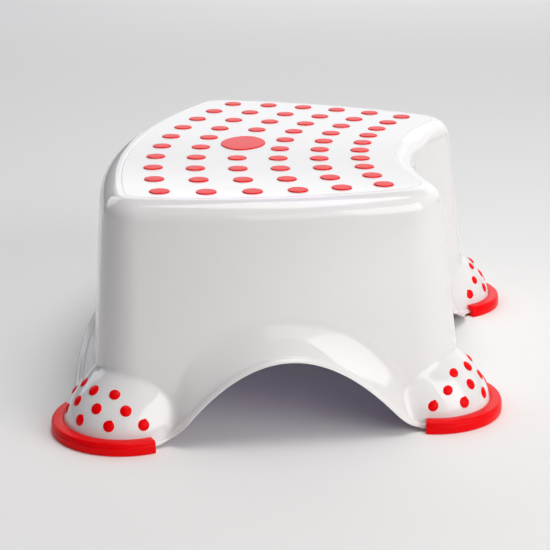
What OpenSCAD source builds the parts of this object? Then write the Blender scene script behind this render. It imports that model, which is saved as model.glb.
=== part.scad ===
// Step stool: one thin moulded shell on four domed feet, with soft grips
// moulded onto its tread and round its feet.
// Millimetres, +Z up, +X along the length. The origin is on the floor, at the
// middle of the footprint. The long bowed edge faces -Y, the hollow edge +Y.

/* [Shell] */
// Height of the tread above the floor
tread_height = 140; // [125:1:150]
// Thickness of the moulded wall and tread
wall = 3; // [2.4:0.1:3.4]
// Radius of the rounded edge between tread and walls
edge_round = 12.5; // [9:0.5:15]
// Gap between the shell's bottom edge and the floor
floor_gap = 2; // [1.5:0.1:2.5]

/* [Tread outline] */
// Radius of the bowed long edge
front_radius = 450; // [420:5:480]
// Radius of the two short ends
end_radius = 345; // [330:5:360]
// Radius of the hollow in the other long edge
hollow_radius = 210; // [200:2:220]
// Corner radius beside the bowed edge
front_corner = 14; // [11:1:17]
// Corner radius beside the hollow edge
back_corner = 20; // [16:1:22]

/* [Arches] */
// Height of the arch in each short end
end_arch_height = 50; // [40:1:55]
// Height of the shallow arches in the long sides
long_arch_height = 20; // [15:1:26]
// How far the skirt flares outward at an arch
flare_out = 9.4; // [6:0.2:11]

/* [Feet] */
// Radius of the domes and of the circles they stand on
dome_radius = 38.5; // [37.5:0.1:39]
// Outer radius of the soft rim round each foot
rim_radius = 45.3; // [44:0.1:46]
// Height of the soft rim
rim_height = 7.7; // [7:0.1:8.5]

/* [Grip dots] */
// Radius of a tread dot
dot_radius = 6.2; // [5:0.1:7]
// Height of the dots and the big oval above the tread
dot_height = 0.8; // [0.6:0.1:1.2]
// Length of the big oval, along X
oval_length = 42; // [38:0.5:44]
// Width of the big oval
oval_width = 29.8; // [26:0.2:32]
// Radius of a dot on a foot
foot_dot_radius = 3.6; // [3:0.1:4]

/* [Hidden] */

plastic_white = "white";
grip_red = "crimson";

// ---- Where things stand in plan ----

front_centre = [0, front_radius - 108];
end_centre = [151 - end_radius, -80.7];
hollow_centre = [0, 67 + hollow_radius];
front_foot = [158.2, -82.8];
back_foot = [103.6, 95.4];
feet = [
    front_foot, back_foot,
    [-front_foot.x, front_foot.y], [-back_foot.x, back_foot.y]
];
// Compass direction in which each right-hand foot points away from the shell
front_facing = -37;
back_facing = 72;

// Outward run of the walls for each unit of drop
front_slope = 0.068;
end_slope = 0.118;
back_slope = 0.1256;

// Half widths of the arches, and where the end arches are centred
front_arch_half = 112;
end_arch_half = 66.8;
end_arch_y = 16.2;
back_arch_half = 62;
// How gently an arch runs out at the feet
end_arch_ease = 14;
long_arch_ease = 6;

// Width of the flared band along an arch, and where it dies out at a foot
flare_band = 23;
flare_start = 26;
flare_full = 46;
// The small flange along the whole bottom edge
flange_height = 3;
flange_out = 2.6;
// Size of the hollow blend between a dome and the wall, at floor and at top
blend_low = 5;
blend_high = 18;

// ---- Outline: a ring of stations, each an arc centre, radius and direction ----

// Zones of the outline
FRONT = 0;
CORNER = 1;
END = 2;
BACK = 3;

front_steps = 15;
front_corner_steps = 10;
end_steps = 20;
back_corner_steps = 10;
back_steps = 11;

function heading(from, to) = atan2(to.y - from.y, to.x - from.x);

// Centre of a corner arc that touches two larger arcs, given its distances
// from their centres; "side" picks one of the two answers
function corner_centre(a, from_a, b, from_b, side) =
    let (
        apart = norm(b - a),
        along = (from_a^2 - from_b^2 + apart^2) / (2 * apart),
        across = sqrt(from_a^2 - along^2),
        unit = (b - a) / apart
    )
    a + along * unit + side * across * [-unit.y, unit.x];

front_corner_at = corner_centre(
    front_centre, front_radius - front_corner,
    end_centre, end_radius - front_corner, 1);
back_corner_at = corner_centre(
    hollow_centre, hollow_radius + back_corner,
    end_centre, end_radius - back_corner, 1);

front_turn = heading(front_centre, front_corner_at);
end_turn_start = heading(end_centre, front_corner_at);
end_turn_stop = heading(end_centre, back_corner_at);
back_turn = heading(back_corner_at, hollow_centre);

// Spacing laws that crowd the stations near the feet
function crowd_last(t) = t + 0.6 * sin(180 * t) / PI;
function crowd_both(t) = t - 0.6 * sin(360 * t) / (2 * PI);

function mix(a, b, t) = a + (b - a) * t;

right_half = concat(
    [for (i = [0 : front_steps - 1])
        [front_centre, front_radius,
         mix(-90, front_turn, crowd_last(i / front_steps)), FRONT]],
    [for (i = [0 : front_corner_steps - 1])
        [front_corner_at, front_corner,
         mix(front_turn, end_turn_start, i / front_corner_steps), CORNER]],
    [for (i = [0 : end_steps - 1])
        [end_centre, end_radius,
         mix(end_turn_start, end_turn_stop, crowd_both(i / end_steps)), END]],
    [for (i = [0 : back_corner_steps - 1])
        [back_corner_at, back_corner,
         mix(end_turn_stop, back_turn, i / back_corner_steps), CORNER]],
    [for (i = [0 : back_steps])
        [hollow_centre, -hollow_radius,
         mix(90, back_turn, crowd_last(1 - i / back_steps)), BACK]]
);

function mirrored(s) = [[-s[0].x, s[0].y], s[1], 180 - s[2], s[3]];

outline = concat(
    right_half,
    [for (i = [len(right_half) - 2 : -1 : 1]) mirrored(right_half[i])]
);

// ---- Wall shape at one station ----

function direction(s) = [cos(s[2]), sin(s[2])];
function plan_point(s, out) = s[0] + (s[1] + out) * direction(s);

function wall_slope(s) =
    let (lengthwise = sin(s[2]))
    mix(end_slope, lengthwise < 0 ? front_slope : back_slope, lengthwise^2);

// Angle that the rounded edge turns through before the straight wall begins
function edge_turn(s) = 90 - atan(wall_slope(s));
function wall_top(s) = tread_height - edge_round * (1 - cos(edge_turn(s)));
function wall_out(s, z) =
    edge_round * sin(edge_turn(s)) + (wall_top(s) - z) * wall_slope(s);

// Nothing below zero and x above it, with the bend between them eased
function soft_rise(x, ease) = x > ease ? x : x < -ease ? 0 : (x + ease)^2 / (4 * ease);
function soft_rise_slope(x, ease) = min(1, max(0, (x + ease) / (2 * ease)));
function ramp(t) = let (u = min(1, max(0, t))) u * u * (3 - 2 * u);

// An arch as [distance along the wall from its crown, half width, rise, ease]
function arch_of(s) =
    let (foot_line = plan_point(s, wall_out(s, floor_gap)))
    s[3] == FRONT ? [foot_line.x, front_arch_half, long_arch_height - floor_gap, long_arch_ease] :
    s[3] == BACK ? [foot_line.x, back_arch_half, long_arch_height - floor_gap, long_arch_ease] :
    [foot_line.y - end_arch_y, end_arch_half, end_arch_height - floor_gap, end_arch_ease];

// Bottom edge of the wall as [height, slope along the wall]
function bottom_edge(s) =
    s[3] == CORNER ? [floor_gap, 0] :
    let (
        arch = arch_of(s),
        bow = arch[2] * (1 - (arch[0] / arch[1])^2),
        steep = -2 * arch[2] * arch[0] / arch[1]^2
    )
    [floor_gap + soft_rise(bow, arch[3]), steep * soft_rise_slope(bow, arch[3])];

function flare_share(s) =
    let (foot_line = plan_point(s, wall_out(s, floor_gap)))
    min([for (foot = feet)
        ramp((norm(foot_line - foot) - flare_start) / (flare_full - flare_start))]);

// How far a dome pushes the wall outward at plan point p, height z
function dome_push(s, p, z) =
    let (ease = mix(blend_low, blend_high, min(1, z / dome_radius)))
    max([for (foot = feet)
        let (
            from_foot = p - foot,
            back = from_foot * direction(s),
            inside = back^2 - from_foot * from_foot + dome_radius^2 - z^2,
            gap = -back + sign(inside) * sqrt(abs(inside))
        )
        soft_rise(gap, ease)]);

// Each station with its bottom edge and its share of the flare
walls = [for (s = outline) [s, bottom_edge(s), flare_share(s)]];

// Point on the outer face at height z, without the flange
function face_point(w, z) =
    let (
        s = w[0],
        above = (z - w[1][0]) / sqrt(1 + w[1][1]^2),
        flare = w[2] * flare_out * max(0, 1 - above / flare_band)^2,
        p = plan_point(s, wall_out(s, z) + flare)
    )
    p + dome_push(s, p, z) * direction(s);

function flange(w, z) =
    let (above = (z - w[1][0]) / sqrt(1 + w[1][1]^2))
    flange_out * max(0, 1 - above / flange_height)^2;

function lift(p, z) = [p.x, p.y, z];

// ---- Shell: rows of points down the outside, then down the inside ----

edge_rows = 6;
inner_edge_rows = 3;
// Heights of the rows, as shares of the wall from its bottom edge to its top
wall_shares = [
    1, 0.82, 0.64, 0.5, 0.42, 0.36, 0.31, 0.265, 0.225, 0.19,
    0.155, 0.125, 0.095, 0.07, 0.046, 0.024, 0.011, 0
];
inner_wall_shares = [1, 0.75, 0.5, 0.4, 0.32, 0.26, 0.2, 0.15, 0.1, 0.05, 0];

function edge_row(radius, turned) = [for (s = outline)
    let (angle = edge_turn(s) * turned)
    lift(plan_point(s, radius * sin(angle)),
         tread_height - edge_round + radius * cos(angle))];

outer_rows = concat(
    [for (i = [0 : edge_rows - 1]) edge_row(edge_round, i / edge_rows)],
    [for (share = wall_shares) [for (w = walls)
        let (z = mix(w[1][0], wall_top(w[0]), share))
        lift(face_point(w, z) + flange(w, z) * direction(w[0]), z)]]
);

inner_rows = concat(
    [for (i = [0 : inner_edge_rows - 1])
        edge_row(edge_round - wall, i / inner_edge_rows)],
    [for (share = inner_wall_shares) [for (w = walls)
        let (z = mix(w[1][0], wall_top(w[0]), share))
        lift(face_point(w, z) - wall * direction(w[0]), z)]]
);

around = len(outline);

// Two triangles between points a, b on one row and d, c on the next
function patch(a, b, c, d) = [[a, b, c], [a, c, d]];

function band(first, second, j) =
    let (k = (j + 1) % around)
    patch(first + j, first + k, second + k, second + j);

shell_rows = concat(outer_rows, inner_rows);
inner_start = len(outer_rows) * around;
last_outer = inner_start - around;
last_inner = (len(shell_rows) - 1) * around;

shell_points = [for (row = shell_rows) for (p = row) p];
shell_faces = concat(
    [[for (j = [around - 1 : -1 : 0]) j]],
    [[for (j = [0 : around - 1]) inner_start + j]],
    [for (r = [0 : len(outer_rows) - 2]) for (j = [0 : around - 1])
        for (t = band(r * around, (r + 1) * around, j)) t],
    [for (r = [0 : len(inner_rows) - 2]) for (j = [0 : around - 1])
        for (t = band(inner_start + (r + 1) * around, inner_start + r * around, j)) t],
    [for (j = [0 : around - 1]) for (t = band(last_outer, last_inner, j)) t]
);

module shell() {
    color(plastic_white)
    polyhedron(points = shell_points, faces = shell_faces, convexity = 8);
}

// ---- Grips on the tread ----

arc_count = 6;
// Crown of the first arc of dots, and the step from arc to arc
first_arc_y = -88.2;
arc_step = 26.32;
first_arc_radius = 396;
arc_radius_step = -29.1;
dots_per_arc = 10;
// The big oval takes the place of the two middle dots of this arc
oval_arc = 3;
// The oval is made of four arcs: a small one at each end, a large one on each side
oval_end_radius = 0.62 * oval_width / 2;
dot_taper = 0.3;

function arc_y(n) = first_arc_y + arc_step * (n - 1);
function arc_radius(n) = first_arc_radius + arc_radius_step * (n - 1);
// Distance from dot to dot, less on the arcs nearer the hollow edge
function dot_pitch(n) = 30.7 - 0.12 * (n - 1) - 0.27 * (n - 1)^2;

module tread_dots(n) {
    color(grip_red)
    for (i = [0 : dots_per_arc - 1])
        if (n != oval_arc || abs(i - (dots_per_arc - 1) / 2) > 1)
            translate([0, arc_y(n) + arc_radius(n), tread_height])
            rotate((i - (dots_per_arc - 1) / 2) * dot_pitch(n) / arc_radius(n) * 180 / PI)
            translate([0, -arc_radius(n), 0])
            cylinder(h = dot_height, r1 = dot_radius, r2 = dot_radius - dot_taper, $fn = 48);
}

// Oval outline: the end arcs stand at the ends of the length, and the side arcs
// run tangent to both of them
function oval_outline() =
    let (
        half = oval_width / 2,
        end_at = oval_length / 2 - oval_end_radius,
        drop = (end_at^2 - (half - oval_end_radius)^2) / (2 * (half - oval_end_radius)),
        side_radius = half + drop,
        turn = atan(end_at / drop),
        steps = 10
    )
    concat(
        [for (i = [0 : steps]) let (a = mix(-90 + turn, 90 - turn, i / steps))
            [end_at + oval_end_radius * cos(a), oval_end_radius * sin(a)]],
        [for (i = [1 : steps - 1]) let (a = mix(90 - turn, 90 + turn, i / steps))
            [side_radius * cos(a), -drop + side_radius * sin(a)]],
        [for (i = [0 : steps]) let (a = mix(90 + turn, 270 - turn, i / steps))
            [-end_at + oval_end_radius * cos(a), oval_end_radius * sin(a)]],
        [for (i = [1 : steps - 1]) let (a = mix(270 - turn, 270 + turn, i / steps))
            [side_radius * cos(a), drop + side_radius * sin(a)]]
    );

module centre_oval() {
    color(grip_red)
    translate([0, arc_y(oval_arc), tread_height])
    linear_extrude(height = dot_height)
    polygon(oval_outline());
}

// ---- Grips on the feet ----

rim_half_turn = 70.8;
// The top of the rim reaches a little past its cut ends
rim_hook = 1.6;
rim_inner_radius = 37;
// The groove in the rim that holds the shell's flange
groove_radius = 41.6;
groove_top = 3.8;
// The lip over the groove leans in, to follow the dome it lies against
lip_radius = 39;
lip_top_radius = sqrt(dome_radius^2 - rim_height^2) + 0.2;
rim_rounding = 1.7;
rim_round_steps = 4;
// The upper part of the rim stands back a little from the lower part
rim_setback = 0.3;
rim_setback_height = 5;

// Upper part of the rim's section: over the groove, with a rounded outer edge
function rim_top_section() =
    let (outer = rim_radius - rim_setback)
    concat(
        [[lip_radius, groove_top], [outer, groove_top]],
        [for (i = [0 : rim_round_steps])
            let (angle = 90 * i / rim_round_steps)
            [outer - rim_rounding * (1 - cos(angle)),
             rim_height - rim_rounding * (1 - sin(angle))]],
        [[lip_top_radius, rim_height]]
    );

// Lower part: the tread of the foot and the wall outside the groove
function rim_base_section() = [
    [rim_inner_radius, 0], [rim_radius, 0],
    [rim_radius, rim_setback_height],
    [groove_radius, rim_setback_height],
    [groove_radius, floor_gap], [rim_inner_radius, floor_gap]
];

module rim(foot, facing) {
    color(grip_red)
    translate([foot.x, foot.y, 0]) {
        rotate(facing - rim_half_turn)
        rotate_extrude(angle = 2 * rim_half_turn, $fn = 120)
        polygon(rim_base_section());

        rotate(facing - rim_half_turn - rim_hook)
        rotate_extrude(angle = 2 * (rim_half_turn + rim_hook), $fn = 120)
        polygon(rim_top_section());
    }
}

// Tiers of dots on a dome: [angle above the floor, step round the dome, count]
foot_tiers = [[22.3, 33, 5], [35.9, 33, 4], [51, 35, 3]];
top_tier = len(foot_tiers) - 1;
// The dots start just inside the face of the dome
foot_dot_seat = 38.3;
foot_dot_height = 1.1;
foot_dot_taper = 0.9;
// How far the blend between dome and wall lifts the top tier of dots
front_rise = 0.4;
back_rise = 0.9;

module foot_dots(foot, facing, rise) {
    color(grip_red)
    for (n = [0 : top_tier])
        let (tier = foot_tiers[n])
        for (i = [0 : tier[2] - 1])
            translate([foot.x, foot.y, 0])
            rotate(facing + tier[1] * (i - (tier[2] - 1) / 2))
            rotate([0, 90 - tier[0], 0])
            translate([0, 0, foot_dot_seat + (n == top_tier ? rise : 0)])
            cylinder(
                h = foot_dot_height,
                r1 = foot_dot_radius, r2 = foot_dot_radius - foot_dot_taper,
                $fn = 32);
}

module left_side() {
    mirror([1, 0, 0]) children();
}

shell();
centre_oval();
tread_dots(1);  // tread_dots_1
tread_dots(2);  // tread_dots_2
tread_dots(3);  // tread_dots_3
tread_dots(4);  // tread_dots_4
tread_dots(5);  // tread_dots_5
tread_dots(6);  // tread_dots_6
rim(front_foot, front_facing);  // rim_front_right
left_side() rim(front_foot, front_facing);  // rim_front_left
rim(back_foot, back_facing);  // rim_back_right
left_side() rim(back_foot, back_facing);  // rim_back_left
foot_dots(front_foot, front_facing, front_rise);  // foot_dots_front_right
left_side() foot_dots(front_foot, front_facing, front_rise);  // foot_dots_front_left
foot_dots(back_foot, back_facing, back_rise);  // foot_dots_back_right
left_side() foot_dots(back_foot, back_facing, back_rise);  // foot_dots_back_left
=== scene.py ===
"""Looks of the moulded step stool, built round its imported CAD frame.

The shell, the grip dots and the foot rims are rebuilt as fine meshes over the
same outline as the CAD part. Shapes are worked out in millimetres and turned
into metres when a mesh is made. The long bowed edge faces -Y.
"""

import math

import bmesh
import bpy
import numpy as np
from mathutils import Matrix, Vector


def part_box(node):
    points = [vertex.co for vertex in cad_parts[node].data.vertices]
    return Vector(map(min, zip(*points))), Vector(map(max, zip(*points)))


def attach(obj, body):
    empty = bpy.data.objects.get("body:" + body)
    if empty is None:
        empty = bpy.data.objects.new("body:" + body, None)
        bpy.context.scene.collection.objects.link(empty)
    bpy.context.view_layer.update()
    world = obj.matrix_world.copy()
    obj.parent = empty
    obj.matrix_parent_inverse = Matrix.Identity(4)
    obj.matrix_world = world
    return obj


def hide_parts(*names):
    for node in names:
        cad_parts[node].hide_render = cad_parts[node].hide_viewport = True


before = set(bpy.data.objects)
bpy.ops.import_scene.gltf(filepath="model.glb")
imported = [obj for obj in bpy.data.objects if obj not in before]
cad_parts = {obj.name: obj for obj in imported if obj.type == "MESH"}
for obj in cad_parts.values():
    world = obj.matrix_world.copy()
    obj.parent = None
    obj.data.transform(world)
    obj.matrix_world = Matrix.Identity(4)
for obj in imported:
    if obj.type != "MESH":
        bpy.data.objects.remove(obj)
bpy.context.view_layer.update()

MM = 0.001


def node_box(node):
    """Lowest and highest corner of a CAD node, in millimetres."""
    low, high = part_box(node)
    return np.array(low) / MM, np.array(high) / MM


# ---- Sizes, in millimetres and degrees ----

TREAD_HEIGHT = node_box("shell")[1][2]
FLOOR_GAP = node_box("shell")[0][2]
WALL = 3.0
EDGE_ROUND = 12.5

# Plan outline: three long arcs joined by two corner arcs on each side
FRONT_RADIUS = 450.0
END_RADIUS = 345.0
HOLLOW_RADIUS = 210.0
FRONT_CORNER = 14.0
BACK_CORNER = 20.0
FRONT_CENTRE = np.array([0.0, FRONT_RADIUS - 108.0])
END_CENTRE = np.array([151.0 - END_RADIUS, -80.7])
HOLLOW_CENTRE = np.array([0.0, 67.0 + HOLLOW_RADIUS])

# Feet: where each stands, and which way it faces
FRONT_FOOT = (158.2, -82.8)
BACK_FOOT = (103.6, 95.4)
FRONT_FACING = -37.0
BACK_FACING = 72.0
DOME_RADIUS = 38.5
BLEND_LOW = 5.0
BLEND_HIGH = 18.0

# Outward run of the walls for each unit of drop
FRONT_SLOPE = 0.068
END_SLOPE = 0.118
BACK_SLOPE = 0.1256

# Arches: half width, height, and how gently each runs out at the feet
FRONT_ARCH = (112.0, 20.0, 6.0)
BACK_ARCH = (62.0, 20.0, 6.0)
END_ARCH = (66.8, 50.0, 14.0)
END_ARCH_Y = 16.2

# The flared band along the arches, and the small lip along the bottom edge
FLARE_OUT = 9.4
FLARE_BAND = 23.0
FLARE_START = 26.0
FLARE_FULL = 46.0
LIP_OUT = 2.6
LIP_HEIGHT = 2.1
LIP_FILLET = 0.7

# The fine line round the tread where it meets the rounded edge
GROOVE_INSET = 1.2
GROOVE_WIDTH = 0.5
GROOVE_DEPTH = 0.12

# Grips on the tread
ARC_COUNT = 6
DOTS_PER_ARC = 10
FIRST_ARC_Y = -88.2
ARC_STEP = 26.32
FIRST_ARC_RADIUS = 396.0
ARC_RADIUS_STEP = -29.1
# Spacing of the dots along the first arc, and how it shrinks from arc to arc
DOT_PITCH = 30.7
PITCH_DROP = 0.12
PITCH_BEND = 0.27
DOT_RADIUS = 6.2
DOT_HEIGHT = node_box("centre_oval")[1][2] - TREAD_HEIGHT
# The big oval takes the place of the two middle dots of this arc
OVAL_ARC = 3
OVAL_LENGTH = 42.0
OVAL_WIDTH = 29.8
OVAL_END_RADIUS = 0.62 * OVAL_WIDTH / 2

# Grips on the feet
RIM_HALF_TURN = 71.6
RIM_INNER = 37.0
RIM_OUTER = 45.25
RIM_HEIGHT = node_box("rim_front_right")[1][2]
RIM_GROOVE = 41.6
RIM_GROOVE_TOP = 3.8
RIM_LIP = 39.0
RIM_LIP_TOP = math.sqrt(DOME_RADIUS**2 - RIM_HEIGHT**2) + 0.2
RIM_SETBACK = 0.3
RIM_SETBACK_HEIGHT = 5.0
FOOT_DOT_RADIUS = 3.6
FOOT_DOT_SEAT = 37.9
FOOT_DOT_HEIGHT = 1.5
# Angle above the floor, step round the dome, count
FOOT_TIERS = ((22.3, 33.0, 5), (35.9, 33.0, 4), (51.0, 35.0, 3))
# How far the blend between dome and wall lifts the top tier of dots
TOP_TIER_RISE = {"front": 0.4, "back": 0.9}
# Gate marks on the bottom tier: size, and place on the button, down and sideways
GATE_RADIUS = 1.1
GATE_DROP = 0.35
GATE_PLACE = (-2.5, 1.1)


# ---- Mesh making ----


def make_object(name, points, faces, material, flat_faces=()):
    """A smooth mesh object from points in millimetres; some faces may be flat."""
    mesh = bpy.data.meshes.new(name)
    mesh.from_pydata([tuple(p) for p in np.asarray(points) * MM], [], faces)
    mesh.validate()
    mesh.polygons.foreach_set("use_smooth", [True] * len(mesh.polygons))
    for index in flat_faces:
        mesh.polygons[index].use_smooth = False
    mesh.materials.append(material)
    mesh.update()
    piece = bpy.data.objects.new(name, mesh)
    bpy.context.scene.collection.objects.link(piece)
    return piece


def band_faces(rows, around, closed=True):
    """Quads between neighbouring rows of points; rows run from top outwards and down."""
    last = around if closed else around - 1
    faces = []
    for r in range(rows - 1):
        for j in range(last):
            k = (j + 1) % around
            faces.append((r * around + j, (r + 1) * around + j, (r + 1) * around + k, r * around + k))
    return faces


# ---- The shell's outline ----

FRONT, CORNER, END, BACK = range(4)
# How much closer the stations stand near the corners: 0 is even, 1 the most
CROWDING = 0.6


def corner_centre(a, from_a, b, from_b):
    """Centre of a corner arc that touches two larger arcs round a and b."""
    apart = np.linalg.norm(b - a)
    along = (from_a**2 - from_b**2 + apart**2) / (2 * apart)
    across = math.sqrt(from_a**2 - along**2)
    unit = (b - a) / apart
    return a + along * unit + across * np.array([-unit[1], unit[0]])


def heading(start, stop):
    """Direction from start to stop, as an angle."""
    return math.atan2(stop[1] - start[1], stop[0] - start[0])


def crowd_last(t):
    """Even shares from 0 to 1, moved closer together near 1."""
    return t + CROWDING * np.sin(math.pi * t) / math.pi


def crowd_both(t):
    """Even shares from 0 to 1, moved closer together near both ends."""
    return t - CROWDING * np.sin(2 * math.pi * t) / (2 * math.pi)


def make_outline(front_steps, corner_steps, end_steps, back_steps):
    """The ring of stations: arc centre, signed radius, outward direction and zone."""
    front_corner = corner_centre(
        FRONT_CENTRE, FRONT_RADIUS - FRONT_CORNER, END_CENTRE, END_RADIUS - FRONT_CORNER
    )
    back_corner = corner_centre(
        HOLLOW_CENTRE, HOLLOW_RADIUS + BACK_CORNER, END_CENTRE, END_RADIUS - BACK_CORNER
    )
    front_turn = heading(FRONT_CENTRE, front_corner)
    end_start = heading(END_CENTRE, front_corner)
    end_stop = heading(END_CENTRE, back_corner)
    back_turn = heading(back_corner, HOLLOW_CENTRE)
    quarter = math.pi / 2

    def arc(centre, radius, start, stop, shares, zone):
        return [(*centre, radius, start + (stop - start) * t, zone) for t in shares]

    front = crowd_last(np.arange(front_steps) / front_steps)
    corner = np.arange(corner_steps) / corner_steps
    end = crowd_both(np.arange(end_steps) / end_steps)
    back = crowd_last(1 - np.arange(back_steps + 1) / back_steps)
    half = (
        arc(FRONT_CENTRE, FRONT_RADIUS, -quarter, front_turn, front, FRONT)
        + arc(front_corner, FRONT_CORNER, front_turn, end_start, corner, CORNER)
        + arc(END_CENTRE, END_RADIUS, end_start, end_stop, end, END)
        + arc(back_corner, BACK_CORNER, end_stop, back_turn, corner, CORNER)
        + arc(HOLLOW_CENTRE, -HOLLOW_RADIUS, quarter, back_turn, back, BACK)
    )
    other = [(-x, y, r, math.pi - a, zone) for x, y, r, a, zone in half[-2:0:-1]]
    return np.array(half + other)


class Walls:
    """The shell's walls, worked out at every station of an outline."""

    def __init__(self, outline):
        self.centre = outline[:, :2]
        self.radius = outline[:, 2]
        self.direction = np.stack([np.cos(outline[:, 3]), np.sin(outline[:, 3])], 1)
        self.zone = outline[:, 4].astype(int)
        lengthwise = self.direction[:, 1]
        side = np.where(lengthwise < 0, FRONT_SLOPE, BACK_SLOPE)
        self.slope = END_SLOPE + (side - END_SLOPE) * lengthwise**2
        self.turn = math.pi / 2 - np.arctan(self.slope)
        self.top = TREAD_HEIGHT - EDGE_ROUND * (1 - np.cos(self.turn))
        foot_line = self.plan(self.out(FLOOR_GAP))
        self.flare = self.flare_share(foot_line)
        self.edge, self.steep = self.bottom_edge(foot_line)
        self.slant = np.sqrt(1 + self.steep**2)

    def plan(self, out):
        """Plan points standing out from the outline arcs by these amounts."""
        return self.centre + (self.radius + out)[:, None] * self.direction

    def out(self, z):
        """How far the plain sloping wall stands outside the outline at height z."""
        return EDGE_ROUND * np.sin(self.turn) + (self.top - z) * self.slope

    def flare_share(self, foot_line):
        """0 beside a foot, 1 well away from every foot."""
        nearest = np.min([np.linalg.norm(foot_line - f, axis=1) for f in all_feet()], 0)
        t = np.clip((nearest - FLARE_START) / (FLARE_FULL - FLARE_START), 0, 1)
        return t * t * (3 - 2 * t)

    def bottom_edge(self, foot_line):
        """Height of the bottom edge and its slope along the wall."""
        height = np.full(len(foot_line), FLOOR_GAP)
        steep = np.zeros(len(foot_line))
        along = {FRONT: foot_line[:, 0], BACK: foot_line[:, 0], END: foot_line[:, 1] - END_ARCH_Y}
        arches = {FRONT: FRONT_ARCH, BACK: BACK_ARCH, END: END_ARCH}
        for zone, (half, top, ease) in arches.items():
            here = self.zone == zone
            t = along[zone][here] / half
            rise = top - FLOOR_GAP
            bow = rise * (1 - t**2)
            height[here] = FLOOR_GAP + soft_rise(bow, ease)
            share = np.clip((bow + ease) / (2 * ease), 0, 1)
            steep[here] = -2 * rise * t / half * share
        return height, steep

    def dome_push(self, plan, z):
        """How far the nearest dome pushes the wall outward."""
        ease = BLEND_LOW + (BLEND_HIGH - BLEND_LOW) * np.minimum(1, z / DOME_RADIUS)
        pushes = []
        for foot in all_feet():
            from_foot = plan - foot
            back = np.sum(from_foot * self.direction, 1)
            inside = back**2 - np.sum(from_foot**2, 1) + DOME_RADIUS**2 - z**2
            gap = -back + np.sign(inside) * np.sqrt(np.abs(inside))
            pushes.append(soft_rise(gap, ease))
        return np.max(pushes, 0)

    def above_edge(self, z):
        """Distance above the bottom edge, measured square to it."""
        return (z - self.edge) / self.slant

    def face(self, z):
        """Plan points of the outer face at height z, without the lip."""
        fade = np.clip(1 - self.above_edge(z) / FLARE_BAND, 0, None) ** 2
        plan = self.plan(self.out(z) + self.flare * FLARE_OUT * fade)
        return plan + self.dome_push(plan, z)[:, None] * self.direction

    def lip(self, z):
        """How far the bottom lip stands out from the face: full height, then a fillet."""
        t = np.clip((self.above_edge(z) - LIP_HEIGHT) / LIP_FILLET, 0, 1)
        return LIP_OUT * (1 - np.sqrt(1 - (1 - t) ** 2))

    def row(self, z, extra):
        """A row of points at heights z, standing extra outside the outer face."""
        plan = self.face(z) + np.multiply.outer(extra, [1, 1]) * self.direction
        return np.column_stack([plan, z])

    def edge_row(self, radius, share):
        """A row on the rounded edge between tread and wall."""
        angle = self.turn * share
        z = TREAD_HEIGHT - EDGE_ROUND + radius * np.cos(angle)
        return np.column_stack([self.plan(radius * np.sin(angle)), z])

    def tread_row(self, inset, depth):
        """A row on the tread, inside the outline and below the surface by these amounts."""
        flat = np.full(len(self.radius), TREAD_HEIGHT - depth)
        return np.column_stack([self.plan(np.full(len(self.radius), -inset)), flat])


def soft_rise(x, ease):
    """Nothing below zero and x above it, with the bend between them eased."""
    eased = (x + ease) ** 2 / (4 * ease)
    return np.where(x > ease, x, np.where(x < -ease, 0, eased))


def all_feet():
    """Plan places of the four feet."""
    return [np.array([side * x, y]) for side in (1, -1) for x, y in (FRONT_FOOT, BACK_FOOT)]


# ---- Pieces ----


def groove_rows(walls):
    """Tread rows across the fine line, from inside outwards."""
    half = GROOVE_WIDTH / 2
    apron = 2.5 * half
    half_floor = 0.4 * half
    return [
        walls.tread_row(GROOVE_INSET + apron, 0),
        walls.tread_row(GROOVE_INSET + half, 0),
        walls.tread_row(GROOVE_INSET + half_floor, GROOVE_DEPTH),
        walls.tread_row(GROOVE_INSET - half_floor, GROOVE_DEPTH),
        walls.tread_row(GROOVE_INSET - half, 0),
    ]


def wall_heights(walls, count, crowding):
    """Heights from the top of the wall to just above the lip, closer near the bottom."""
    shares = (1 - np.arange(count) / count) ** crowding
    start = walls.edge + (LIP_HEIGHT + LIP_FILLET) * walls.slant
    return [start + (walls.top - start) * share for share in shares]


def lip_rows(walls):
    """Rows down the fillet and the lip and round its bottom edge to the inner face."""
    soft = 0.5
    fillet_rows = 8
    rows = []
    for share in np.linspace(1, 0, fillet_rows):
        z = walls.edge + (LIP_HEIGHT + LIP_FILLET * share) * walls.slant
        rows.append(walls.row(z, walls.lip(z)))
    full = np.full(len(walls.radius), LIP_OUT)
    for angle in (0, 30, 60, 90):
        down = math.radians(angle)
        z = walls.edge + soft * (1 - math.sin(down)) * walls.slant
        rows.append(walls.row(z, full - soft * (1 - math.cos(down))))
    rows.append(walls.row(walls.edge, full * 0 - WALL + soft))
    rows.append(walls.row(walls.edge + soft, full * 0 - WALL))
    return rows


def inner_rows(walls, count, crowding):
    """Rows up the inner face, closer near the bottom, and round under the tread."""
    round_rows = 7
    rows = []
    for share in np.linspace(0, 1, count)[1:]:
        z = walls.edge + (walls.top - walls.edge) * share**crowding
        rows.append(walls.row(z, np.full(len(z), -WALL)))
    for share in np.linspace(1, 0, round_rows)[1:]:
        rows.append(walls.edge_row(EDGE_ROUND - WALL, share))
    return rows


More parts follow.
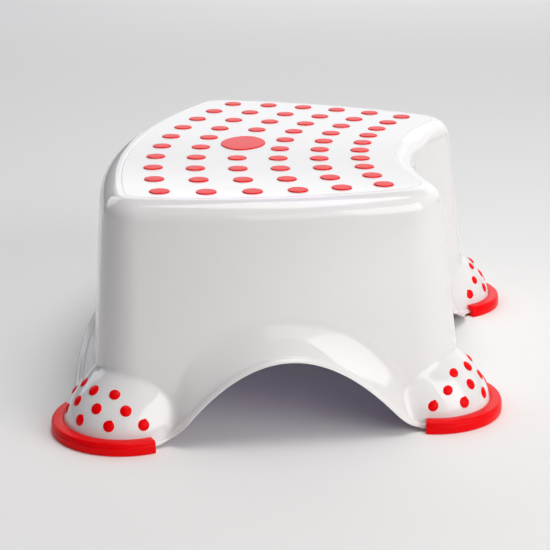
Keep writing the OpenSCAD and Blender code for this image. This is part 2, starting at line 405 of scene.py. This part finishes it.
def make_shell(material):
    """The one-piece moulding, as closed rows from the tread down, under and up inside."""
    walls = Walls(make_outline(front_steps=60, corner_steps=26, end_steps=84, back_steps=44))
    round_rows = 13
    around = len(walls.radius)
    rows = groove_rows(walls)
    rows += [walls.edge_row(EDGE_ROUND, t) for t in np.linspace(0, 1, round_rows)[:-1]]
    for z in wall_heights(walls, count=58, crowding=1.5):
        rows.append(walls.row(z, walls.lip(z)))
    rows += lip_rows(walls)
    rows += inner_rows(walls, count=34, crowding=1.4)
    faces = band_faces(len(rows), around)
    last = (len(rows) - 1) * around
    tread = list(range(around))
    ceiling = [last + j for j in range(around)][::-1]
    faces += [tread, ceiling]
    flat = (len(faces) - 2, len(faces) - 1)
    piece = make_object("stool_shell", np.vstack(rows), faces, material, flat)
    finish_piece(piece, ["shell"])


def lathe(profile, steps):
    """Points and faces of a closed turned shape from (radius, height) pairs."""
    profile = np.asarray(profile, float)
    angles = np.arange(steps) * 2 * math.pi / steps
    points = [(r * math.cos(a), r * math.sin(a), z) for r, z in profile for a in angles]
    faces = band_faces(len(profile), steps)
    top = list(range(steps))
    bottom = [(len(profile) - 1) * steps + j for j in range(steps)][::-1]
    return np.array(points), faces + [top, bottom]


def button_profile(radius, height, edge, crown, skirt=0.0):
    """A low round button from its crowned top down: soft edge, then an upright side."""
    shoulder = height - crown - edge
    innermost = 0.06
    rings = 7
    top = [(radius * t, height - crown * t**2) for t in np.linspace(innermost, 1, rings)]
    top = [(r * (radius - edge) / radius, z) for r, z in top]
    bend = [
        (radius - edge + edge * math.sin(a), shoulder + edge * math.cos(a))
        for a in np.linspace(0, math.pi / 2, rings)[1:]
    ]
    return top + bend + [(radius + skirt, 0.0)]


def merge_shapes(shapes):
    """One list of points and faces from several."""
    points = []
    faces = []
    for shape_points, shape_faces in shapes:
        offset = sum(len(p) for p in points)
        points.append(shape_points)
        faces += [tuple(i + offset for i in face) for face in shape_faces]
    return np.vstack(points), faces


def placed(shape, matrix):
    """A shape moved by a matrix, with its faces still facing outward."""
    points, faces = shape
    spread = np.column_stack([points, np.ones(len(points))])
    moved = spread @ np.array(matrix).T
    if matrix.determinant() < 0:
        faces = [tuple(face[::-1]) for face in faces]
    return moved[:, :3], faces


def turned(angle, axis):
    """Matrix of a turn in degrees about an axis."""
    return Matrix.Rotation(math.radians(angle), 4, axis)


def shifted(x, y, z):
    """Matrix of a move."""
    return Matrix.Translation((x, y, z))


def tread_dot_places(n):
    """Places of the dots on arc n, counted from the bowed edge."""
    radius = FIRST_ARC_RADIUS + ARC_RADIUS_STEP * (n - 1)
    pitch = DOT_PITCH - PITCH_DROP * (n - 1) - PITCH_BEND * (n - 1) ** 2
    step = math.degrees(pitch / radius)
    middle = (DOTS_PER_ARC - 1) / 2
    crown = FIRST_ARC_Y + ARC_STEP * (n - 1)
    for i in range(DOTS_PER_ARC):
        if n == OVAL_ARC and abs(i - middle) < 1:
            continue
        spin = turned((i - middle) * step, "Z")
        yield shifted(0, crown + radius, TREAD_HEIGHT) @ spin @ shifted(0, -radius, 0)


def make_tread_dots(n, material):
    """The low flat-topped dots of arc n, as one piece."""
    skirt = 0.1
    profile = button_profile(DOT_RADIUS - skirt, DOT_HEIGHT, edge=0.42, crown=0.12, skirt=skirt)
    button = lathe(profile, steps=40)
    shape = merge_shapes([placed(button, place) for place in tread_dot_places(n)])
    piece = make_object(f"tread_grips_{n}", *shape, material)
    finish_piece(piece, [f"tread_dots_{n}"])


def arc_points(centre, radius, start, stop, count):
    """Points along an arc, from angle start to angle stop in degrees."""
    angles = np.radians(np.linspace(start, stop, count))
    return [(centre[0] + radius * math.cos(a), centre[1] + radius * math.sin(a)) for a in angles]


def oval_ring(inset):
    """Points round the oval, moved in by inset: an arc at each end, one on each side."""
    half = OVAL_WIDTH / 2
    end_at = OVAL_LENGTH / 2 - OVAL_END_RADIUS
    spare = half - OVAL_END_RADIUS
    drop = (end_at**2 - spare**2) / (2 * spare)
    side = half + drop - inset
    end = OVAL_END_RADIUS - inset
    turn = math.degrees(math.atan(end_at / drop))
    end_points = 25
    side_points = 33
    ring = arc_points((end_at, 0), end, turn - 90, 90 - turn, end_points)
    ring += arc_points((0, -drop), side, 90 - turn, 90 + turn, side_points)[1:-1]
    ring += arc_points((-end_at, 0), end, 90 + turn, 270 - turn, end_points)
    ring += arc_points((0, drop), side, 270 - turn, 270 + turn, side_points)[1:-1]
    return np.array(ring)


def make_oval(material):
    """The big oval: a barely crowned top that rolls over into a soft edge."""
    soft = 0.45
    crown = 0.12
    skirt = 0.1
    edge_rings = 7
    top_shares = (0.1, 0.4, 0.7, 0.9)
    rows = []
    for share in top_shares:
        ring = oval_ring(soft + skirt) * share
        rows.append(np.insert(ring, 2, DOT_HEIGHT - crown * share**2, axis=1))
    for angle in np.linspace(0, math.pi / 2, edge_rings):
        inset = skirt + soft * (1 - math.sin(angle))
        height = DOT_HEIGHT - crown - soft * (1 - math.cos(angle))
        rows.append(np.insert(oval_ring(inset), 2, height, axis=1))
    rows.append(np.insert(oval_ring(0), 2, 0, axis=1))
    around = len(rows[0])
    faces = band_faces(len(rows), around)
    last = (len(rows) - 1) * around
    faces += [list(range(around)), [last + j for j in range(around)][::-1]]
    place = shifted(0, FIRST_ARC_Y + ARC_STEP * (OVAL_ARC - 1), TREAD_HEIGHT)
    piece = make_object("tread_oval", *placed((np.vstack(rows), faces), place), material)
    finish_piece(piece, ["centre_oval"])


def rim_section():
    """Closed section of the foot rim, as (radius, height), round its groove."""
    round_top = 1.7
    round_bottom = 0.8
    top_points = 9
    bottom_points = 6
    flat_top = 2.5
    top_bevel = 0.3
    bottom_bevel = 0.4
    # Down the small step in the outer face: share of the setback, height from the step
    step_points = ((0.0, 0.15), (0.6, -0.05), (1.0, -0.4))
    upper = RIM_OUTER - RIM_SETBACK
    section = [(RIM_LIP_TOP + top_bevel, RIM_HEIGHT), (RIM_LIP_TOP + flat_top, RIM_HEIGHT)]
    top_centre = (upper - round_top, RIM_HEIGHT - round_top)
    section += arc_points(top_centre, round_top, 90, 0, top_points)
    section += [(upper + RIM_SETBACK * share, RIM_SETBACK_HEIGHT + z) for share, z in step_points]
    bottom_centre = (RIM_OUTER - round_bottom, round_bottom)
    section += arc_points(bottom_centre, round_bottom, 0, -90, bottom_points)
    section += [(RIM_INNER + bottom_bevel, 0), (RIM_INNER, bottom_bevel), (RIM_INNER, FLOOR_GAP)]
    section += [(RIM_GROOVE, FLOOR_GAP), (RIM_GROOVE, RIM_GROOVE_TOP)]
    section += [(RIM_LIP, RIM_GROOVE_TOP), (RIM_LIP_TOP, RIM_HEIGHT - top_bevel)]
    return np.array(section)


def rim_shape():
    """A rim swept round its foot, facing +X, with softened cut ends."""
    section = rim_section()
    middle = np.array([(RIM_LIP + RIM_OUTER) / 2, RIM_HEIGHT / 2])
    inward = middle - section
    inward = inward / np.linalg.norm(inward, axis=1)[:, None]
    soft = 0.6
    end_shares = (0.0, 0.3, 0.65, 1.0)
    steps = 96
    # Each stop is an angle, and how far the section has grown to its full size
    end_turn = math.degrees(soft / RIM_OUTER)
    inner = RIM_HALF_TURN - end_turn
    ends = [(end_turn * t - RIM_HALF_TURN, math.sqrt(1 - (1 - t) ** 2)) for t in end_shares]
    stops = ends + [(angle, 1.0) for angle in np.linspace(-inner, inner, steps)[1:-1]]
    stops += [(-angle, grown) for angle, grown in reversed(ends)]
    points = []
    for angle, grown in stops:
        ring = section + inward * soft * (1 - grown)
        around_foot = math.radians(angle)
        for radius, z in ring:
            points.append((radius * math.cos(around_foot), radius * math.sin(around_foot), z))
    around = len(section)
    rows = len(points) // around
    faces = band_faces(rows, around)
    first = list(range(around))
    last = [(rows - 1) * around + j for j in range(around)][::-1]
    return np.array(points), faces + [first, last]


def foot_frames():
    """Each foot by name, with the matrix that puts a shape facing +X on it."""
    flip = Matrix.Scale(-1, 4, (1, 0, 0))
    for name, foot, facing in (
        ("front", FRONT_FOOT, FRONT_FACING),
        ("back", BACK_FOOT, BACK_FACING),
    ):
        right = shifted(*foot, 0) @ turned(facing, "Z")
        yield f"{name}_right", right
        yield f"{name}_left", flip @ right


def make_rim(name, place, material):
    """The rim of one foot."""
    points, faces = placed(rim_shape(), place)
    piece = make_object(f"foot_rim_{name}", points, faces, material)
    sharpen_by_angle(piece, degrees=50)
    finish_piece(piece, [f"rim_{name}"])


def foot_dot_shapes(rise):
    """The buttons on one dome facing +X, each bottom one with its small gate mark."""
    bare_radius = FOOT_DOT_RADIUS - 0.2
    profile = button_profile(bare_radius, FOOT_DOT_HEIGHT, edge=0.35, crown=0.75, skirt=0.15)
    button = lathe(profile, steps=36)
    gate_height = FOOT_DOT_HEIGHT - GATE_DROP
    gate_mark = lathe(button_profile(GATE_RADIUS, gate_height, edge=0.3, crown=0.15), steps=20)
    bottom, top = FOOT_TIERS[0], FOOT_TIERS[-1]
    shapes = []
    for tier in FOOT_TIERS:
        lift, step, count = tier
        seat = FOOT_DOT_SEAT + (rise if tier == top else 0)
        for i in range(count):
            aim = turned(step * (i - (count - 1) / 2), "Z") @ turned(90 - lift, "Y")
            shapes.append(placed(button, aim @ shifted(0, 0, seat)))
            if tier == bottom:
                shapes.append(placed(gate_mark, aim @ shifted(*GATE_PLACE, seat)))
    return shapes


def make_foot_dots(name, place, material):
    """All the buttons on one foot's dome, as one piece."""
    rise = TOP_TIER_RISE[name.split("_")[0]]
    shape = placed(merge_shapes(foot_dot_shapes(rise)), place)
    piece = make_object(f"foot_grips_{name}", *shape, material)
    finish_piece(piece, [f"foot_dots_{name}"])


def sharpen_by_angle(piece, degrees):
    """Keeps edges sharper than this angle crisp under smooth shading."""
    piece.data.set_sharp_from_angle(angle=math.radians(degrees))


def finish_piece(piece, nodes):
    """Turns a finished piece's faces outward, puts it under the root frame, and hides the CAD nodes
    that it stands for.
    """
    check_normals(piece)
    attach(piece, "root")
    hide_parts(*nodes)


def check_normals(piece):
    """Turns every closed surface of the piece to face outward."""
    work = bmesh.new()
    work.from_mesh(piece.data)
    bmesh.ops.recalc_face_normals(work, faces=work.faces)
    work.to_mesh(piece.data)
    work.free()


# ---- Materials ----


def new_material(name):
    """A node material, with its nodes and its links."""
    material = bpy.data.materials.new(name)
    material.use_nodes = True
    return material, material.node_tree.nodes, material.node_tree.links


def object_noise(nodes, links, scale, detail, roughness=0.5):
    """Noise over the object's own coordinates, in waves per metre."""
    where = nodes.new("ShaderNodeTexCoord")
    noise = nodes.new("ShaderNodeTexNoise")
    noise.inputs["Scale"].default_value = scale
    noise.inputs["Detail"].default_value = detail
    noise.inputs["Roughness"].default_value = roughness
    links.new(where.outputs["Object"], noise.inputs["Vector"])
    return noise


def ranged(nodes, links, source, low, high):
    """Source, from 0 to 1, turned into a value from low to high."""
    spread = nodes.new("ShaderNodeMapRange")
    spread.inputs["To Min"].default_value = low
    spread.inputs["To Max"].default_value = high
    links.new(source, spread.inputs["Value"])
    return spread.outputs["Result"]


def blended(nodes, links, share, first, second):
    """A colour between first and second."""
    mix = nodes.new("ShaderNodeMix")
    mix.data_type = "RGBA"
    mix.inputs["A"].default_value = (*first, 1)
    mix.inputs["B"].default_value = (*second, 1)
    links.new(share, mix.inputs["Factor"])
    return mix.outputs["Result"]


def bumped(nodes, links, height, distance, strength, under=None):
    """A bumped normal from a height, laid over the normal under it."""
    bump = nodes.new("ShaderNodeBump")
    bump.inputs["Distance"].default_value = distance
    bump.inputs["Strength"].default_value = strength
    links.new(height, bump.inputs["Height"])
    if under is not None:
        links.new(under, bump.inputs["Normal"])
    return bump.outputs["Normal"]


def make_white_plastic():
    """Glossy moulded polypropylene: faint orange peel, cloudy gloss, fine scuffs."""
    material, nodes, links = new_material("white_gloss_plastic")
    shader = nodes["Principled BSDF"]
    cloud = object_noise(nodes, links, scale=14, detail=3)
    dull = (0.80, 0.80, 0.795)
    bright = (0.83, 0.828, 0.82)
    tone = blended(nodes, links, cloud.outputs["Fac"], dull, bright)
    links.new(tone, shader.inputs["Base Color"])
    haze = object_noise(nodes, links, scale=55, detail=5, roughness=0.65)
    gloss = ranged(nodes, links, haze.outputs["Fac"], low=0.05, high=0.12)
    links.new(gloss, shader.inputs["Roughness"])
    peel = object_noise(nodes, links, scale=420, detail=1)
    swell = object_noise(nodes, links, scale=45, detail=2)
    soft = bumped(nodes, links, swell.outputs["Fac"], distance=0.0006, strength=0.10)
    fine = bumped(nodes, links, peel.outputs["Fac"], distance=0.00008, strength=0.12, under=soft)
    links.new(fine, shader.inputs["Normal"])
    shader.inputs["IOR"].default_value = 1.49
    shader.inputs["Subsurface Weight"].default_value = 0.06
    shader.inputs["Subsurface Radius"].default_value = (0.004, 0.004, 0.004)
    shader.inputs["Subsurface Scale"].default_value = 0.5
    return material


def make_red_grip():
    """Soft red elastomer: satin, with a fine moulded grain and slightly uneven colour."""
    material, nodes, links = new_material("red_soft_grip")
    shader = nodes["Principled BSDF"]
    cloud = object_noise(nodes, links, scale=60, detail=3)
    deep = (0.82, 0.0, 0.002)
    bright = (0.93, 0.001, 0.004)
    tone = blended(nodes, links, cloud.outputs["Fac"], deep, bright)
    links.new(tone, shader.inputs["Base Color"])
    haze = object_noise(nodes, links, scale=240, detail=4, roughness=0.6)
    gloss = ranged(nodes, links, haze.outputs["Fac"], low=0.24, high=0.38)
    links.new(gloss, shader.inputs["Roughness"])
    grain = object_noise(nodes, links, scale=2600, detail=2)
    swell = object_noise(nodes, links, scale=300, detail=2)
    soft = bumped(nodes, links, swell.outputs["Fac"], distance=0.0003, strength=0.15)
    fine = bumped(nodes, links, grain.outputs["Fac"], distance=0.00006, strength=0.25, under=soft)
    links.new(fine, shader.inputs["Normal"])
    shader.inputs["IOR"].default_value = 1.5
    shader.inputs["Specular IOR Level"].default_value = 0.09
    return material


def make_floor_material():
    """Matt pale studio floor."""
    material, nodes, links = new_material("studio_floor")
    shader = nodes["Principled BSDF"]
    shader.inputs["Base Color"].default_value = (0.895, 0.90, 0.885, 1)
    shader.inputs["Roughness"].default_value = 0.75
    return material


# ---- Studio ----

CAMERA_PLACE = Vector((0.9592, 0.1148, 0.3542))
CAMERA_FORWARD = Vector((-0.94497, -0.12715, -0.30144))
CAMERA_ROLL = -0.153
SENSOR_WIDTH = 36.0
# Focal length in image widths
FOCAL_SHARE = 2.6837


def make_camera():
    """The camera, standing near one short end and looking slightly down."""
    data = bpy.data.cameras.new("camera")
    data.sensor_width = SENSOR_WIDTH
    data.lens = SENSOR_WIDTH * FOCAL_SHARE
    camera = bpy.data.objects.new("camera", data)
    bpy.context.scene.collection.objects.link(camera)
    aim = CAMERA_FORWARD.to_track_quat("-Z", "Y").to_matrix().to_4x4()
    camera.matrix_world = Matrix.Translation(CAMERA_PLACE) @ aim @ turned(CAMERA_ROLL, "Z")
    bpy.context.scene.camera = camera


def make_floor():
    """A plain floor reaching far past the view."""
    half = 6000.0
    corners = [(-half, -half, 0), (half, -half, 0), (half, half, 0), (-half, half, 0)]
    floor = make_object("floor", corners, [(0, 1, 2, 3)], make_floor_material())


def make_soft_box(name, place, aim, width, height, power, colour):
    """A rectangular soft light, in metres and watts, turned to face aim."""
    data = bpy.data.lights.new(name, "AREA")
    data.shape = "RECTANGLE"
    data.size = width
    data.size_y = height
    data.energy = power
    data.color = colour
    light = bpy.data.objects.new(name, data)
    bpy.context.scene.collection.objects.link(light)
    light.location = place
    light.visible_camera = False
    light.rotation_mode = "QUATERNION"
    light.rotation_quaternion = (Vector(aim) - Vector(place)).to_track_quat("-Z", "Y")


def make_lights():
    """Soft boxes above, behind and to the right, with a dim surround and a violet fill."""
    middle = (0, 0, 0.07)
    warm = (1.0, 0.965, 0.94)
    plain = (1.0, 0.99, 0.98)
    cool = (0.96, 0.98, 1.0)
    violet = (0.58, 0.30, 1.0)
    surround = (0.82, 0.76, 1.0)
    make_soft_box("overhead_wide", (0.6, 0.0, 2.4), middle, 3.4, 3.4, 4.5, plain)
    make_soft_box("overhead", (0.1, 0.22, 1.6), middle, 0.95, 0.95, 12.0, plain)
    make_soft_box("back_wall", (-3.5, 0.5, 1.2), middle, 4.0, 2.4, 30.0, cool)
    make_soft_box("back", (-2.6, 0.0, 1.6), middle, 3.0, 1.6, 10.0, plain)
    make_soft_box("back_floor", (-2.2, 0.0, 0.5), (-2.2, 0.0, 0.0), 1.2, 1.2, 1.2, plain)
    make_soft_box("back_left", (-1.5, -1.8, 1.2), middle, 1.5, 1.2, 9.5, cool)
    make_soft_box("back_right", (-1.3, 1.7, 1.0), middle, 1.5, 1.2, 3.7, warm)
    make_soft_box("camera_side", (1.9, 0.9, 0.9), middle, 1.0, 1.0, 4.8, warm)
    make_soft_box("right_side", (0.9, 1.45, 0.75), middle, 1.3, 1.0, 15.5, warm)
    make_soft_box("under_tread", (0.10, 0.0, 0.11), (0.20, 0.0, 0.0), 0.12, 0.12, 0.0076, violet)
    world = bpy.data.worlds.new("studio")
    world.use_nodes = True
    background = world.node_tree.nodes["Background"]
    background.inputs["Color"].default_value = (*surround, 1)
    background.inputs["Strength"].default_value = 0.08
    bpy.context.scene.world = world
    bpy.context.scene.view_settings.view_transform = "Standard"


white = make_white_plastic()
red = make_red_grip()
make_shell(white)
make_oval(red)
for arc_number in range(1, ARC_COUNT + 1):
    make_tread_dots(arc_number, red)
for foot_name, foot_place in foot_frames():
    make_rim(foot_name, foot_place, red)
    make_foot_dots(foot_name, foot_place, red)
make_floor()
make_lights()
make_camera()
